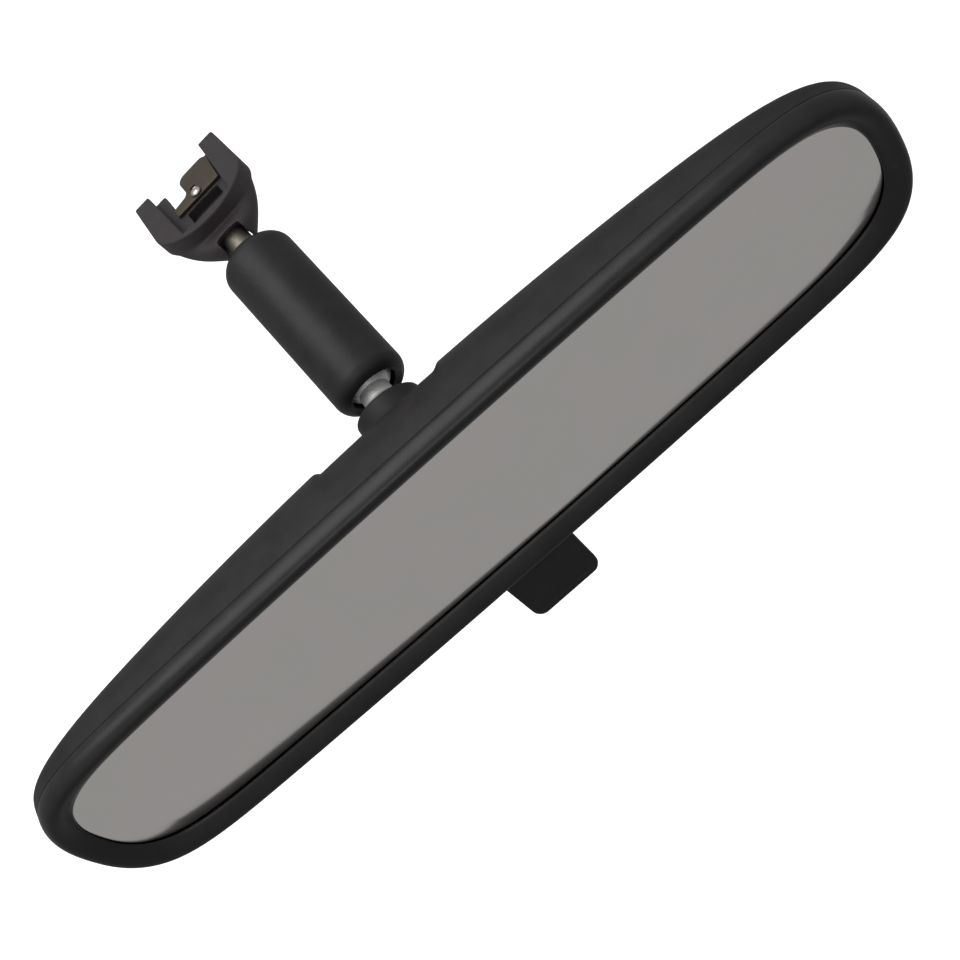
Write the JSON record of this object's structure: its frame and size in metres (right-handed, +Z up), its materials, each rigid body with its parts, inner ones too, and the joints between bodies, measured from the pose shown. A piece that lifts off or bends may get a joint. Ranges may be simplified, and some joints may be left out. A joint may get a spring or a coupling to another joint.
{
  "type": "interior rearview mirror",
  "caption": "Wide day/night rearview mirror: rounded black case and bezel around a prismatic glass, with a flip tab, a tubular double-ball arm and a U-shaped foot for a windshield button",
  "frame": {"origin": "the middle of the foot's mating face, where it sits on the windshield button", "axes": "+X along the mirror's long side, +Y from the glass to the back and the windshield, +Z up; the glass faces -Y"},
  "size_m": [0.2656, 0.1428, 0.0877],
  "materials": {
    "case": "satin moulded black plastic with a fine grain",
    "bezel": "satin moulded black plastic, a little smoother than the case",
    "lever": "satin moulded black plastic",
    "glass": "silvered prism glass",
    "pad": "closed-cell foam",
    "steel_pin": "drawn steel pin",
    "zinc_steel": "zinc-plated steel",
    "spring_steel": "oiled spring steel",
    "cast_zinc": "bright die-cast metal",
    "arm": "satin black powder coat",
    "nylon": "natural nylon",
    "olive_steel": "olive-grey chromate steel",
    "foot": "satin dark brown-black coating on cast metal",
    "clip": "olive-brown spring steel plate",
    "rivet": "bright dimple"
  },
  "bodies": {
    "foot": {"windshield_foot": "foot", "button_clip": "clip", "clip_rivet": "rivet", "upper_ball_stud": "olive_steel"},
    "upper_ring_body": {"upper_ball_ring": "nylon"},
    "upper_cup_body": {"upper_ball_cup": "nylon"},
    "arm": {"arm_tube": "arm", "arm_spring": "spring_steel"},
    "lower_ring_body": {"lower_ball_ring": "nylon"},
    "lower_cup_body": {"lower_ball_cup": "nylon"},
    "bracket": {"lower_ball_stud": "cast_zinc", "tilt_bracket": "zinc_steel", "bracket_screw_left": "zinc_steel", "bracket_screw_right": "zinc_steel"},
    "head": {"mirror_case": "case", "front_bezel": "bezel", "prism_glass": "glass", "backing_pad": "pad", "tilt_pin": "steel_pin", "pin_clip_left": "zinc_steel", "pin_clip_right": "zinc_steel", "lever_pin": "steel_pin", "toggle_spring": "spring_steel", "spring_screw": "zinc_steel"},
    "lever": {"day_night_lever": "lever"}
  },
  "joints": [
    {"name": "arm_pitch", "type": "hinge", "parent": "foot", "child": "upper_ring_body", "pos_m": [0.00299, -0.03257, -0.01288], "axis": [0.9954, 0.0953, -0.01], "range_deg": [-13, 13]},
    {"name": "arm_swing", "type": "hinge", "parent": "upper_ring_body", "child": "upper_cup_body", "pos_m": [0.00299, -0.03257, -0.01288], "axis": [0.0374, -0.2905, 0.9562], "range_deg": [-13, 13]},
    {"name": "arm_spin", "type": "hinge", "parent": "upper_cup_body", "child": "arm", "pos_m": [0.00299, -0.03257, -0.01288], "axis": [-0.065, 0.9541, 0.2924], "range_deg": [-45, 45]},
    {"name": "head_yaw", "type": "hinge", "parent": "arm", "child": "lower_ring_body", "pos_m": [0.00564, -0.0715, -0.0248], "axis": [0, 0, 1], "range_deg": [-11, 11]},
    {"name": "head_pitch", "type": "hinge", "parent": "lower_ring_body", "child": "lower_cup_body", "pos_m": [0.00564, -0.0715, -0.0248], "axis": [1, 0, 0], "range_deg": [-11, 11]},
    {"name": "head_roll", "type": "hinge", "parent": "lower_cup_body", "child": "bracket", "pos_m": [0.00564, -0.0715, -0.0248], "axis": [0, 0.9563, 0.2924], "range_deg": [-45, 45]},
    {"name": "case_tilt", "type": "hinge", "parent": "bracket", "child": "head", "pos_m": [0.00564, -0.1088, -0.03621], "axis": [1, 0, 0], "range_deg": [0, 4.5]},
    {"name": "lever_flip", "type": "hinge", "parent": "head", "child": "lever", "pos_m": [0.00704, -0.1129, -0.0551], "axis": [1, 0, 0], "range_deg": [0, 35]}
  ],
  "couplings": [
    {"joint": "lever_flip", "follows": "case_tilt", "ratio": 7.7778}
  ]
}
